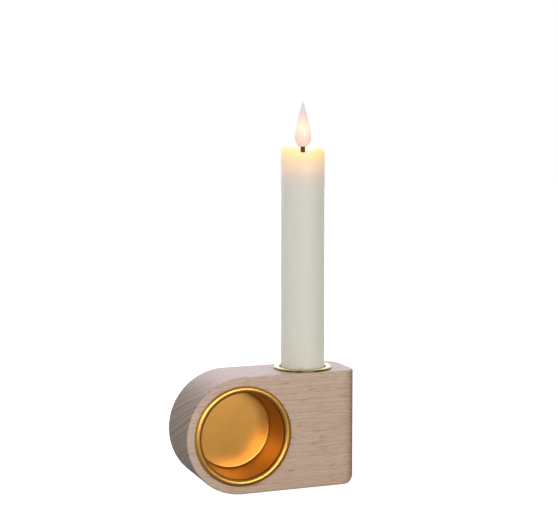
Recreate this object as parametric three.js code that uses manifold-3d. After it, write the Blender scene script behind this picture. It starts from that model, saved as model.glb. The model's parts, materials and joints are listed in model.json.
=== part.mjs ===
// Beech candlestick for two kinds of light, with the LED taper candle that stands in it.
//
// The block is a thick D: a half-round end and a square end. A gold cup for a tealight is sunk in
// the front of the half-round end, and a brass socket for a taper candle in the top of the square
// end. Standing on its flat underside the block holds the taper upright; laid on its back it holds
// a tealight. The LED taper is a wax sleeve over a plastic battery tube, with two AAA cells end to
// end, a small board, a lamp inside a flame-shaped diffuser, and a twist-off cap with a switch.
//
// Millimetres, +Z up, front towards -Y. The origin is the middle of the block's underside.

import * as THREE from "three";
import { mergeVertices } from "three/addons/utils/BufferGeometryUtils.js";
import Module from "manifold-3d";

const wasm = await Module();
wasm.setup();

// ---- Driving dimensions ----

const gap = 0.3; // between pieces that rest on or fit into each other
const overrun = 1; // how far a cutting tool runs past the face it cuts

const sides = { outside: 48, flame: 28, inside: 24, small: 12, lead: 8 };

const block = {
  length: 92,
  height: 59.5,
  depth: 32,
  faceRound: 1, // along the front and back outlines
  uprightRound: 8, // upright edges of the square end
  lowEndRound: 4, // lower edge of the square end
  topEndRound: 1.2, // its upper edge
};

// Both metal cups are measured from the wood face that they are sunk in.
const tealightCup = { mouth: 22.1, floor: 20.4, depth: 18.2, wall: 0.8, rim: 25.5, rimHeight: 1.4 };
const candleSocket = { mouth: 12, floor: 11.7, depth: 20, wall: 0.8, rim: 15, rimHeight: 1.3 };
const socketToSquareEnd = 24.2; // from the socket's axis
const cupCorner = 0.6; // radius inside, between the wall and the floor

// Wax sleeve, with heights from the candle's bottom.
const wax = { base: 11.4, top: 11.2, height: 133.9, bore: 8.9, dishDepth: 4.2, lip: 0.5, foot: 0.6 };

// The melted rim dips in two places. Headings are degrees anticlockwise from +X, seen from above.
const rimDips = [
  { heading: -119, depth: 3.2, spread: 40 },
  { heading: 18, depth: 2.3, spread: 70 },
];

const flame = { height: 23, radius: 4.35, widestAt: 5.4, base: 2.4, floor: 1 };
const lampPocket = { radius: 1.9, straight: 5.2, height: 7 };
const lamp = { radius: 1.5, collar: 1.6, collarHeight: 0.6, domeAt: 2.6 };
const wick = { radius: 1.2, bore: 0.8, inFlame: 0.9 };
const lead = { radius: 0.2, offset: 0.38, onBoard: 3.2 };

const tube = { outer: 8.6, inner: 6.6, aboveBoard: 2.3 };
const tubeTop = { spigot: 4, skin: 0.7, shoulder: 1.6, height: 3.9, crown: 4.1, ceiling: 1.2 };

// AAA cell. The button stands on top of the can.
const cell = { radius: 5.25, can: 43.6, edge: 0.4, button: 0.9, buttonRadius: 1.9 };
const cradle = { clearance: 0.25, openFrom: 55, openTo: 125, belowCell: 3 };
const strip = { y: 5.9, width: 3, thickness: 0.4, footFront: 4.9, tabHeight: 3 };
const topContact = { radius: 4.6, thickness: 0.4, tabX: -3.4, tabWidth: 1.8, tabHeight: 3.4 };

const board = { y: 1, width: 10, thickness: 1, height: 12.5 };
const chip = { x: 1.4, width: 4, thickness: 1.5, height: 5, up: 1.5 };
const resistor = { x: -3.4, width: 1.2, thickness: 0.5, height: 2, down: 1.4 };
const capacitor = { radius: 1.5, height: 4.5, up: 6.4 };

// Twist cap: a flange under the tube, a skirt inside it, and two lugs that run in bayonet slots.
const cap = { flange: 2.6, radius: 8.5, skirt: 6.3, skirtHeight: 4.3, skirtWall: 0.8 };
const lug = { radius: 7.2, height: 1.6, up: 1.8, halfAngle: 8, slotHalfAngle: 12, twist: 55 };
const fingerNotch = { inner: 6, outer: 7.4, depth: 1.2, halfAngle: 25 };
const insulator = { radius: 6.2, thickness: 0.7 };
const contactRing = { inner: 4.7, outer: 6, thickness: 0.3 };
const spring = { wire: 0.3, topRadius: 2.7, bottomRadius: 3.9, length: 5, turns: 4 };

// Slide switch in the cap. The stem of the slider shows in a slot in the cap's underside.
const slider = { travel: 2.5, stemX: 1.8, stemY: 1.6, headX: 3.6, headY: 3, head: 1, recess: 0.4 };
const switchCase = { sizeX: 8.2, sizeY: 4.6 };

// ---- Places worked out from the driving dimensions ----

const cupX = (block.height - block.length) / 2; // axis of the half-round end and of its cup
const cupZ = block.height / 2;
const socketX = block.length / 2 - socketToSquareEnd;
const candleZ = block.height - candleSocket.depth + gap;

// Heights inside the candle, from its bottom. Each piece is a gap above the one below.
const capFlangeTop = gap + cap.flange;
const capSkirtTop = capFlangeTop + cap.skirtHeight;
const tubeBottom = capFlangeTop + gap;
const lugBottom = capFlangeTop + lug.up;
const lugTop = lugBottom + lug.height;
const insulatorBottom = capSkirtTop + gap;
const springBottom = insulatorBottom + insulator.thickness + gap;
const springTop = springBottom + spring.length;
const lowerCellBottom = springTop + gap;
const upperCellBottom = lowerCellBottom + cell.can + cell.button + gap;
const topContactBottom = upperCellBottom + cell.can + cell.button + gap;
const boardBottom = topContactBottom + topContact.thickness + gap;
const boardTop = boardBottom + board.height;
const tubeTopBottom = boardTop + tube.aboveBoard + gap;
const waxPlugBottom = tubeTopBottom + tubeTop.height + gap;
const dishBottom = wax.height - wax.dishDepth;
const flameBottom = wax.height;
const wickTop = flameBottom + wick.inFlame;
const boardFront = board.y - board.thickness / 2 - gap;
const boardBack = board.y + board.thickness / 2 + gap;

// ---- Helpers ----

const { degToRad, radToDeg, euclideanModulo, lerp, smoothstep } = THREE.MathUtils;

const point = (x, y) => new THREE.Vector2(x, y);

// Points along an arc, from one angle to another in degrees, both ends included.
function arc(x, y, radius, from, to, steps) {
  return Array.from({ length: steps + 1 }, (_, i) => {
    const angle = degToRad(lerp(from, to, i / steps));
    return point(x + radius * Math.cos(angle), y + radius * Math.sin(angle));
  });
}

// A three.js geometry as a solid that can be joined and cut.
function toSolid(geometry) {
  const loose = geometry.index ? geometry.toNonIndexed() : geometry;
  const bare = new THREE.BufferGeometry();
  bare.setAttribute("position", loose.getAttribute("position"));
  const merged = mergeVertices(bare, 1e-4);
  const vertProperties = merged.attributes.position.array;
  const triVerts = new Uint32Array(merged.index.array);
  return new wasm.Manifold(new wasm.Mesh({ numProp: 3, vertProperties, triVerts }));
}

function toGeometry(solid) {
  const { vertProperties, triVerts } = solid.getMesh();
  const geometry = new THREE.BufferGeometry();
  geometry.setAttribute("position", new THREE.BufferAttribute(vertProperties, 3));
  geometry.setIndex(new THREE.BufferAttribute(triVerts, 1));
  geometry.computeVertexNormals();
  return geometry;
}

function join(...pieces) {
  return toGeometry(pieces.map(toSolid).reduce((all, piece) => all.add(piece)));
}

// The first geometry with the others cut away.
function cut(geometry, ...tools) {
  return toGeometry(tools.map(toSolid).reduce((left, tool) => left.subtract(tool), toSolid(geometry)));
}

function common(first, second) {
  return toGeometry(toSolid(first).intersect(toSolid(second)));
}

// An outline in X and Y, raised from one height to another.
function raised(outline, bottom, top) {
  const flat = { depth: top - bottom, bevelEnabled: false };
  return new THREE.ExtrudeGeometry(new THREE.Shape(outline), flat).translate(0, 0, bottom);
}

// A profile of (radius, height) points turned about +Z. It runs round the section anticlockwise,
// and starts and ends on the axis.
function turned(profile, count = sides.inside) {
  return new THREE.LatheGeometry(profile, count).rotateX(Math.PI / 2);
}

// The same for a section that stays off the axis: it closes on its first point.
function turnedRing(section, count = sides.inside) {
  return turned([...section, section[0]], count);
}

// A plain disc or rod on the Z axis between two heights.
function rod(radius, bottom, top, count = sides.inside) {
  return turned([point(0, bottom), point(radius, bottom), point(radius, top), point(0, top)], count);
}

// A plain ring on the Z axis.
function ring(inner, outer, bottom, top) {
  return turnedRing([point(inner, bottom), point(outer, bottom), point(outer, top), point(inner, top)]);
}

// A piece of a ring between two angles in degrees.
function ringSector(inner, outer, from, to, bottom, top) {
  const steps = Math.ceil((to - from) / 12);
  const outline = [...arc(0, 0, outer, from, to, steps), ...arc(0, 0, inner, to, from, steps)];
  return raised(outline, bottom, top);
}

// A box given by its middle in X and Y, its size in X and Y, and its two heights.
function box(x, y, sizeX, sizeY, bottom, top) {
  return new THREE.BoxGeometry(sizeX, sizeY, top - bottom).translate(x, y, (bottom + top) / 2);
}

function part(name, geometry, material) {
  const mesh = new THREE.Mesh(geometry, material);
  mesh.name = name;
  return mesh;
}

// ---- Materials ----

const finish = (color, roughness, metalness) =>
  new THREE.MeshStandardMaterial({ color, roughness, metalness });

const beech = finish(0xbfa08a, 0.6, 0);
const goldAnodised = finish(0xd9953f, 0.4, 1);
const brass = finish(0xc9b36a, 0.2, 1);
const ivoryWax = finish(0xe6e0cf, 0.5, 0);
const flamePlastic = finish(0xf8e3d2, 0.4, 0);
const wickPlastic = finish(0x4a2c20, 0.8, 0);
const whitePlastic = finish(0xe9e6df, 0.5, 0);
const blackPlastic = finish(0x1d1d1f, 0.5, 0);
const lampPlastic = finish(0xfff0c8, 0.2, 0);
const boardGreen = finish(0x1f6b45, 0.5, 0);
const steel = finish(0xb9bcc0, 0.3, 1);
const cellSteel = finish(0x7d8791, 0.35, 0.8);

// ---- The holder ----

// Front outline of the block: half-round end on the left, square end on the right.
function blockOutline() {
  const right = block.length / 2;
  const { height, lowEndRound, topEndRound } = block;
  return [
    ...arc(cupX, cupZ, height / 2, 90, 270, sides.outside / 2),
    ...arc(right - lowEndRound, lowEndRound, lowEndRound, -90, 0, 5),
    ...arc(right - topEndRound, height - topEndRound, topEndRound, 0, 90, 3),
  ];
}

// Top view of the block, which rounds the upright edges of the square end.
function blockPlan() {
  const left = -block.length / 2 - overrun;
  const side = block.depth / 2;
  const round = block.uprightRound;
  const right = block.length / 2 - round;
  return [
    point(left, side),
    point(left, -side),
    ...arc(right, -side + round, round, -90, 0, 8),
    ...arc(right, side - round, round, 0, 90, 8),
  ];
}

// The hole for a cup, on the Z axis, with the wood face at height 0.
function cupBore({ mouth, wall, depth }) {
  return rod(mouth + wall + gap, -depth - wall - gap, overrun, sides.outside);
}

function woodBlock() {
  const slab = new THREE.ExtrudeGeometry(new THREE.Shape(blockOutline()), {
    depth: block.depth - 2 * block.faceRound,
    bevelThickness: block.faceRound,
    bevelSize: block.faceRound,
    bevelOffset: -block.faceRound,
    bevelSegments: 2,
  });
  slab.rotateX(Math.PI / 2).translate(0, block.depth / 2 - block.faceRound, 0);
  const rounded = common(slab, raised(blockPlan(), -overrun, block.height + overrun));
  return cut(rounded, sunkInFront(cupBore(tealightCup)), sunkInTop(cupBore(candleSocket)));
}

// A thin cup on the Z axis with a rolled rim, which rests on the wood face at height 0.
function rimmedCup({ mouth, floor, depth, wall, rim, rimHeight }) {
  const inside = [
    point(0, -depth),
    ...arc(floor - cupCorner, -depth + cupCorner, cupCorner, -90, 0, 3),
  ];
  const bead = arc(0, 0, 1, 180, 0, 8).map(({ x, y }) =>
    point((mouth + rim) / 2 + (x * (rim - mouth)) / 2, gap + y * (rimHeight - gap)),
  );
  const outside = [
    point(mouth + wall, gap),
    point(mouth + wall, 0),
    point(floor + wall, -depth - wall + cupCorner),
    point(floor + wall - cupCorner, -depth - wall),
    point(0, -depth - wall),
  ];
  return turned([...inside, ...bead, ...outside].reverse(), sides.outside);
}

// Turns a piece made on the Z axis so that its top looks out of the block's front.
function sunkInFront(geometry) {
  return geometry.rotateX(Math.PI / 2).translate(cupX, -block.depth / 2, cupZ);
}

function sunkInTop(geometry) {
  return geometry.translate(socketX, 0, block.height);
}

const holder = new THREE.Group();
holder.add(
  part("wood_block", woodBlock(), beech),
  part("tealight_cup", sunkInFront(rimmedCup(tealightCup)), goldAnodised),
  part("candle_socket", sunkInTop(rimmedCup(candleSocket)), brass),
);

// ---- The LED candle, on its own axis with height 0 at its bottom ----

// How far the melted rim lies below its highest level, at an angle round the candle.
function rimDip(angle) {
  const dips = rimDips.map(({ heading, depth, spread }) => {
    const away = euclideanModulo(radToDeg(angle) - heading + 180, 360) - 180;
    return depth * Math.exp(-((away / spread) ** 4));
  });
  return dips.reduce((sum, dip) => sum + dip);
}

// Wax sleeve with a plug at the top. The dish round the wick follows the rim down, and a small
// mound of wax is left at the wick.
function waxShell() {
  const hole = wick.radius + gap;
  const shell = turnedRing(
    [
      point(wax.bore, 0),
      point(wax.base - wax.foot, 0),
      point(wax.base, wax.foot),
      point(wax.top, dishBottom - wax.lip),
      point(wax.top, wax.height - wax.lip),
      point(wax.top - wax.lip, wax.height),
      point(wax.top - 3 * wax.lip, wax.height - wax.lip),
      point(wax.top - 0.4 * wax.dishDepth - 2 * wax.lip, wax.height - 0.75 * wax.dishDepth),
      point(wax.top / 2, dishBottom),
      point(hole + 1.2, dishBottom + 0.2),
      point(hole, dishBottom + 1),
      point(hole, waxPlugBottom),
      point(wax.bore, waxPlugBottom),
    ],
    sides.outside,
  );
  const place = shell.getAttribute("position");
  for (let i = 0; i < place.count; i++) {
    const [x, y, z] = [place.getX(i), place.getY(i), place.getZ(i)];
    const rise = Math.max(0, (z - dishBottom) / wax.dishDepth);
    const outwards = Math.hypot(x, y) / wax.top;
    place.setZ(i, z - rise * outwards * rimDip(Math.atan2(y, x)));
  }
  return shell;
}

// Teardrop with a pocket for the lamp. The outside is two Bezier curves that meet at its widest.
function flameDiffuser() {
  const { height, radius, widestAt, base, floor } = flame;
  const outside = new THREE.Path();
  outside.moveTo(base, 0);
  outside.bezierCurveTo(1.25 * base, 0.18 * widestAt, radius, 0.55 * widestAt, radius, widestAt);
  outside.bezierCurveTo(radius, 0.45 * height, 0.37 * radius, 0.76 * height, 0, height);
  const hole = wick.radius + gap;
  const pocket = [
    point(0, lampPocket.height),
    point(lampPocket.radius / 2, lampPocket.height - 0.4),
    point(lampPocket.radius, lampPocket.straight),
    point(lampPocket.radius, floor),
    point(hole, floor),
    point(hole, 0),
  ];
  return turned([...pocket, ...outside.getPoints(8)], sides.flame).translate(0, 0, flameBottom);
}

// Lamp with its domed lens up.
function flameLed() {
  const { radius, collar, collarHeight, domeAt } = lamp;
  const profile = [
    point(0, 0),
    point(collar, 0),
    point(collar, collarHeight),
    point(radius, collarHeight),
    ...arc(0, domeAt, radius, 0, 90, 4),
  ];
  return turned(profile, sides.small).translate(0, 0, wickTop + gap);
}

function wickSleeve() {
  return ring(wick.bore, wick.radius, tubeTopBottom, wickTop);
}

// One of the lamp's two wires, from the lamp down the sleeve to the face of the board.
function lampLead(x) {
  return rod(lead.radius, boardTop - lead.onBoard, wickTop, sides.lead).translate(x, 0, 0);
}

// Battery tube. Each bayonet slot starts at the bottom edge and turns sideways.
function housingTube() {
  const { halfAngle, slotHalfAngle, twist } = lug;
  const inner = tube.inner - gap;
  const outer = lug.radius + gap;
  const slots = [0, 180].flatMap((turn) => {
    const end = turn + twist + slotHalfAngle;
    return [
      ringSector(inner, outer, turn - slotHalfAngle, end, lugBottom - gap, lugTop + gap),
      ringSector(inner, outer, end - 2 * slotHalfAngle, end, tubeBottom - overrun, lugTop),
    ];
  });
  return cut(ring(tube.inner, tube.outer, tubeBottom, boardTop + tube.aboveBoard), ...slots);
}

// Closes the top of the tube, with a spigot that centres it and a hole for the wick.
function housingTop() {
  const { spigot, skin, shoulder, height, crown, ceiling } = tubeTop;
  const hole = wick.radius + gap;
  const fit = tube.inner - gap;
  return turnedRing([
    point(hole, ceiling),
    point(fit - skin, ceiling),
    point(fit - skin, -spigot),
    point(fit, -spigot),
    point(fit, 0),
    point(tube.outer, 0),
    point(tube.outer, shoulder),
    point((tube.outer + crown) / 2, height - skin),
    point(crown, height),
    point(hole, height),
  ]).translate(0, 0, tubeTopBottom);
}

// Open-sided sleeve that holds the two cells in line. The contact strip runs in the opening.
function batteryCradle() {
  const inner = cell.radius + cradle.clearance;
  const outer = tube.inner - gap;
  const bottom = lowerCellBottom - cradle.belowCell;
  return ringSector(inner, outer, cradle.openTo, cradle.openFrom + 360, bottom, topContactBottom - gap);
}

function batteryCell(bottom) {
  const { radius, can, edge, button, buttonRadius } = cell;
  return turned([
    point(0, 0),
    point(radius - edge, 0),
    point(radius, edge),
    point(radius, can - edge),
    point(radius - edge, can),
    point(buttonRadius, can),
    point(buttonRadius, can + button),
    point(0, can + button),
  ]).translate(0, 0, bottom);
}

// Return contact behind the cells: a foot over the cap's ring, a long strip, a tab at the board.
function contactStrip() {
  const { y, width, thickness, footFront, tabHeight } = strip;
  const back = y + thickness / 2;
  const foot = springBottom + contactRing.thickness + gap;
  const tab = boardBottom + tabHeight;
  const level = (front, bottom) =>
    box(0, (front + back) / 2, width, back - front, bottom, bottom + thickness);
  return join(
    box(0, y, width, thickness, foot, tab + thickness),
    level(footFront, foot),
    level(boardBack, tab),
  );
}

// Plate that the upper cell's button touches, with a solder tab in front of the board.
function topContactPlate() {
  const { radius, thickness, tabX, tabWidth, tabHeight } = topContact;
  const plateTop = topContactBottom + thickness;
  const tabY = boardFront - thickness / 2;
  return join(
    rod(radius, topContactBottom, plateTop),
    box(tabX, tabY, tabWidth, thickness, plateTop - thickness / 2, plateTop + tabHeight),
  );
}

function circuitBoard() {
  return box(0, board.y, board.width, board.thickness, boardBottom, boardTop);
}

// Flicker and timer chip, on the front of the board.
function timerChip() {
  const bottom = boardBottom + chip.up;
  const y = boardFront - chip.thickness / 2;
  return box(chip.x, y, chip.width, chip.thickness, bottom, bottom + chip.height);
}

function lampResistor() {
  const top = boardTop - resistor.down;
  const y = boardFront - resistor.thickness / 2;
  return box(resistor.x, y, resistor.width, resistor.thickness, top - resistor.height, top);
}

// Can capacitor, on the back of the board.
function boardCapacitor() {
  const { radius, height, up } = capacitor;
  const can = rod(radius, boardBottom + up, boardBottom + up + height, sides.small);
  return can.translate(0, boardBack + radius, 0);
}

const candle = new THREE.Group();
candle.position.set(socketX, 0, candleZ);
candle.add(
  part("wax_shell", waxShell(), ivoryWax),
  part("flame_diffuser", flameDiffuser(), flamePlastic),
  part("flame_led", flameLed(), lampPlastic),
  part("wick_sleeve", wickSleeve(), wickPlastic),
  part("lead_anode", lampLead(-lead.offset), steel),
  part("lead_cathode", lampLead(lead.offset), steel),
  part("housing_tube", housingTube(), whitePlastic),
  part("housing_top", housingTop(), whitePlastic),
  part("battery_cradle", batteryCradle(), blackPlastic),
  part("battery_lower", batteryCell(lowerCellBottom), cellSteel),
  part("battery_upper", batteryCell(upperCellBottom), cellSteel),
  part("contact_strip", contactStrip(), brass),
  part("top_contact", topContactPlate(), brass),
  part("circuit_board", circuitBoard(), boardGreen),
  part("timer_chip", timerChip(), blackPlastic),
  part("lamp_resistor", lampResistor(), blackPlastic),
  part("board_capacitor", boardCapacitor(), steel),
);

// ---- The twist cap and what turns with it ----

function batteryCap() {
  const { flange, radius, skirt, skirtHeight, skirtWall } = cap;
  const { halfAngle } = lug;
  const body = join(
    rod(radius, capFlangeTop - flange, capFlangeTop),
    ring(skirt - skirtWall, skirt, capFlangeTop - gap, capFlangeTop + skirtHeight),
    ...[0, 180].map((turn) =>
      ringSector(skirt - skirtWall / 2, lug.radius, turn - halfAngle, turn + halfAngle, lugBottom, lugTop),
    ),
  );
  const slotX = slider.travel + slider.stemX + 2 * gap;
  const slot = box(0, 0, slotX, slider.stemY + 2 * gap, 0, capFlangeTop + overrun);
  const notches = [90, 270].map((turn) => {
    const { inner, outer, depth, halfAngle: reach } = fingerNotch;
    return ringSector(inner, outer, turn - reach, turn + reach, 0, gap + depth);
  });
  return cut(body, slot, ...notches);
}

function capInsulator() {
  return rod(insulator.radius, insulatorBottom, insulatorBottom + insulator.thickness);
}

function capContactRing() {
  return ring(contactRing.inner, contactRing.outer, springBottom, springBottom + contactRing.thickness);
}

// Conical coil under the lower cell. The turns close up towards its two ends.
class SpringPath extends THREE.Curve {
  getPoint(t, target = new THREE.Vector3()) {
    const rise = smoothstep(t, 0, 1);
    const radius = lerp(spring.bottomRadius, spring.topRadius, t);
    const height = lerp(springBottom + spring.wire, springTop - spring.wire, rise);
    const angle = 2 * Math.PI * spring.turns * t;
    return target.set(radius * Math.cos(angle), radius * Math.sin(angle), height);
  }
}

function batterySpring() {
  const section = new THREE.Shape(arc(0, 0, spring.wire, 0, 300, 5));
  return new THREE.ExtrudeGeometry(section, { steps: 56, extrudePath: new SpringPath() });
}

// Case of the switch. Its pocket, open below, guides the slider's head.
function switchBody() {
  const bottom = capFlangeTop + gap;
  const pocketX = slider.travel + slider.headX + 2 * gap;
  const pocketTop = bottom + slider.head + gap;
  const pocket = box(0, 0, pocketX, slider.headY + 2 * gap, bottom - overrun, pocketTop);
  return cut(box(0, 0, switchCase.sizeX, switchCase.sizeY, bottom, capSkirtTop - gap), pocket);
}

// Slider, at the end of its travel where the light is on.
function switchSlider() {
  const x = -slider.travel / 2;
  const headBottom = capFlangeTop + gap;
  return join(
    box(x, 0, slider.headX, slider.headY, headBottom, headBottom + slider.head),
    box(x, 0, slider.stemX, slider.stemY, gap + slider.recess, headBottom + slider.head / 2),
  );
}

const twistCap = new THREE.Group();
twistCap.add(
  part("battery_cap", batteryCap(), whitePlastic),
  part("cap_insulator", capInsulator(), blackPlastic),
  part("cap_contact_ring", capContactRing(), brass),
  part("battery_spring", batterySpring(), steel),
  part("switch_body", switchBody(), blackPlastic),
  part("switch_slider", switchSlider(), blackPlastic),
);
candle.add(twistCap);

const candlestick = new THREE.Group();
candlestick.add(holder, candle);

export default candlestick;
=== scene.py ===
"""The looks of the beech candlestick and its LED taper candle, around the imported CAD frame.

Each piece is a fine mesh made here. It takes its place and its main sizes from the box of the CAD
node that it stands for, and rides on that node's body. Outlines and sections are in millimetres,
in the frame's own directions: +X right, +Z up, front towards -Y. The scene itself is in metres.
"""

import json
import math
from math import cos, exp, pi, radians, sin, sqrt, tan

import bmesh
import bpy
from mathutils import Matrix, Vector, noise


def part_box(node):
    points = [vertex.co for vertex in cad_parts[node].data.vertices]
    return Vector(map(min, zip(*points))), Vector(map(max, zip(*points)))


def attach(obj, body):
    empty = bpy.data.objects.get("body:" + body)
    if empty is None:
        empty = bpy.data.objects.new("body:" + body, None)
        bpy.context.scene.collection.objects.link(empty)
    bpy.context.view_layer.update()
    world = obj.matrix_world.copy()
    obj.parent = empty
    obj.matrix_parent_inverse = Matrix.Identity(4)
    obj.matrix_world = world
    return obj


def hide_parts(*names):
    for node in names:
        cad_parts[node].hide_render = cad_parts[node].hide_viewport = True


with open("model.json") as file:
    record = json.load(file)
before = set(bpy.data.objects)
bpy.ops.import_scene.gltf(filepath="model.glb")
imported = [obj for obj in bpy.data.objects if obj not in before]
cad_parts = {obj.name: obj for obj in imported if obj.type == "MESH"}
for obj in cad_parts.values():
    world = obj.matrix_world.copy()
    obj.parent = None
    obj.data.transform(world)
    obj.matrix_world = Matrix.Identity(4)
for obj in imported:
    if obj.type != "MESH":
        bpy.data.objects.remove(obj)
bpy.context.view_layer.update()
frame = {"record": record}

scene = bpy.context.scene
MM = 0.001

# ---- Driving dimensions, in millimetres ----

GAP = 0.3  # between pieces that rest on or fit into each other
ROUND = 144  # sides of a wide turned piece
SMALL = 48  # sides of a narrow one
SHARP = 40  # degrees between two faces whose edge isn't smoothed over

FACE_ROUND = 1.0  # of the block, along its front and back outlines
UPRIGHT_ROUND = 8.0  # upright edges of its square end
LOW_ROUND = 4.0  # lower edge of its square end
TOP_ROUND = 1.2  # upper edge of its square end

# Both metal cups, measured from the wood face that they are sunk in.
TEALIGHT_CUP = dict(mouth=22.1, floor=20.4, depth=18.2, wall=0.8, rim=25.5, rim_height=1.4, corner=1.0)
CANDLE_SOCKET = dict(mouth=12.0, floor=11.7, depth=20.0, wall=0.8, rim=15.0, rim_height=1.3, corner=0.6)

WAX = dict(base=11.4, top=11.2, height=133.9, bore=8.9, dish_depth=4.2, lip=0.9, foot=0.6)
# The melted rim dips in two places. Headings are degrees anticlockwise from +X, seen from above.
RIM_DIPS = (
    dict(heading=-119, depth=3.2, spread=40),
    dict(heading=18, depth=2.3, spread=70),
)
# The unevenness of dipped wax, on its side and along its rim.
SIDE_SWELL = dict(depth=0.05, across=7, along=11)
RIM_GRAIN = dict(depth=0.18, size=2.2)
POOL = dict(radius=5.5, mound=1.4)  # the flat of the dish, and the mound in it round the wick

FLAME = dict(height=23.0, radius=4.35, widest_at=5.4, base=2.4, floor=1.0)
LAMP_POCKET = dict(radius=1.9, straight=5.2, height=7.0)
LAMP = dict(radius=1.5, collar=1.6, collar_height=0.6, dome_at=2.6)
WICK = dict(radius=1.2, bore=0.8)
WICK_STRAND = dict(count=3, lay=1.9, groove=0.05)  # lay in radians of turn for each millimetre

TUBE = dict(outer=8.6, inner=6.6)
TUBE_TOP = dict(spigot=4.0, skin=0.7, shoulder=1.6, height=3.9, crown=4.1, ceiling=1.2)
CELL = dict(radius=5.25, can=43.6, button=0.9, button_radius=1.9, wrap=0.13)
CAN_RING = dict(inner=2.6, outer=3.9, slope=0.3)  # the rings pressed in a cell's two ends
CRADLE = dict(inner=5.5, outer=6.3, open_from=55, open_to=125)
STRIP = dict(thickness=0.4, foot_front=4.9, bend=0.8)
BUTTON_TAB = dict(left=3.4, half_width=0.9)  # left of the candle's axis, as are its pad and the resistor

CAP = dict(flange=2.6, radius=8.5, skirt=6.3, skirt_height=4.3, skirt_wall=0.8)
LUG = dict(radius=7.2, height=1.6, up=1.8, half_angle=8, slot_half_angle=12, twist=55)
FINGER_NOTCH = dict(inner=6.0, outer=7.4, depth=1.2, half_angle=25)
CONTACT_RING = dict(inner=4.7, outer=6.0)
SPRING = dict(wire=0.3, top=2.7, bottom=3.9, turns=4)
SLIDER = dict(travel=2.5, stem_x=1.8, stem_y=1.6, head_x=3.6, head_y=3.0, head=1.0)
KNOB_GROOVE = dict(half_width=0.1, depth=0.15, apart=0.5)

CHIP_LEG = dict(
    pitch=1.27, width=0.4, thickness=0.15, inset=0.1, shoulder=0.35, knee=0.45, reach=0.9, bend=0.2
)
CRIMP = dict(above_foot=0.7, width=0.5, depth=0.18)
KEY_MARK = dict(radius=0.3, mouth=0.36, depth=0.1, rise=0.2, inset=0.8)
PAD_THICKNESS = 0.06
LEAD_PAD = dict(off_axis=0.42, below_top=2.2, width=0.6, height=2.6)
TAB_PAD = dict(above_foot=2.0, width=2.0, height=2.4)
STRIP_PAD = dict(above_foot=3.2, width=3.4, height=1.6)
RESISTOR_PAD = dict(below_top=(1.2, 3.6), width=1.3, height=0.7)


class Place:
    """A CAD node's box at rest, in millimetres."""

    def __init__(self, node):
        low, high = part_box(node)
        self.low = low / MM
        self.high = high / MM
        self.middle = (self.low + self.high) / 2
        self.size = self.high - self.low


block_place = Place("wood_block")
cup_place = Place("tealight_cup")
socket_place = Place("candle_socket")
wax_place = Place("wax_shell")
wood_front = block_place.low.y
wood_top = block_place.high.z

# ---- Outlines ----


def lerp(start, end, share):
    return start + (end - start) * share


def smoothstep(share):
    share = min(max(share, 0), 1)
    return share * share * (3 - 2 * share)


def arc(x, y, radius, start, end, steps=8, height=None):
    """Points along an arc, or along an ellipse if it has a height of its own. Angles in degrees."""
    angles = [radians(lerp(start, end, i / steps)) for i in range(steps + 1)]
    return [(x + radius * cos(a), y + (height or radius) * sin(a)) for a in angles]


def bezier(start, pull, push, end, steps=16):
    """Points along a cubic curve, both ends included."""
    points = [Vector(p) for p in (start, pull, push, end)]
    curve = []
    for i in range(steps + 1):
        t = i / steps
        weights = ((1 - t) ** 3, 3 * t * (1 - t) ** 2, 3 * t * t * (1 - t), t**3)
        curve.append(tuple(sum((p * w for p, w in zip(points, weights)), Vector((0, 0)))))
    return curve


def rounded(corners, radius, steps=4, closed=True):
    """An outline with its corners rounded. A corner is (x, y), or (x, y, its own radius)."""
    path = []
    last = len(corners) - 1
    for i, (x, y, *own) in enumerate(corners):
        reach = own[0] if own else radius
        if reach == 0 or (not closed and i in (0, last)):
            path.append((x, y))
            continue
        corner = Vector((x, y))
        before = Vector(corners[i - 1][:2]) - corner
        after = Vector(corners[0 if i == last else i + 1][:2]) - corner
        reach = min(reach / tan(before.angle(after) / 2), 0.45 * min(before.length, after.length))
        start = corner + before.normalized() * reach
        end = corner + after.normalized() * reach
        for step in range(steps + 1):
            t = step / steps
            path.append(tuple(start * (1 - t) ** 2 + corner * 2 * t * (1 - t) + end * t * t))
    return path


# ---- Shapes, as bmesh solids in millimetres ----


def stitch(shape, first, second, whole=True):
    """Faces between two rows of vertices. Whole rows close on themselves."""
    count = len(first)
    for i in range(count if whole else count - 1):
        j = (i + 1) % count
        corners = list(dict.fromkeys((first[i], first[j], second[j], second[i])))
        if len(corners) > 2:
            shape.faces.new(corners)


def outwards(shape):
    bmesh.ops.recalc_face_normals(shape, faces=shape.faces)
    return shape


def lofted(rows, closed=False):
    """A solid through rows of points that each close on themselves, capped unless it is closed."""
    shape = bmesh.new()
    verts = [[shape.verts.new(point) for point in row] for row in rows]
    if closed:
        verts.append(verts[0])
    for first, second in zip(verts, verts[1:]):
        stitch(shape, first, second)
    if not closed:
        shape.faces.new(verts[0])
        shape.faces.new(verts[-1])
    return outwards(shape)


def turned(section, sides=ROUND, closed=False, start=0, sweep=360):
    """A solid turned about +Z from (radius, height) points. A closed section is off the axis."""
    shape = bmesh.new()
    whole = sweep == 360
    count = sides if whole else sides + 1
    headings = [radians(start + sweep * i / sides) for i in range(count)]
    rings = []
    for radius, height in section:
        if radius < GAP * MM:
            rings.append([shape.verts.new((0, 0, height))] * count)
        else:
            spots = [(radius * cos(a), radius * sin(a), height) for a in headings]
            rings.append([shape.verts.new(spot) for spot in spots])
    if not whole:
        shape.faces.new([ring[0] for ring in rings])
        shape.faces.new([ring[-1] for ring in rings])
    if closed:
        rings.append(rings[0])
    for lower, upper in zip(rings, rings[1:]):
        stitch(shape, lower, upper, whole)
    return outwards(shape)


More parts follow.
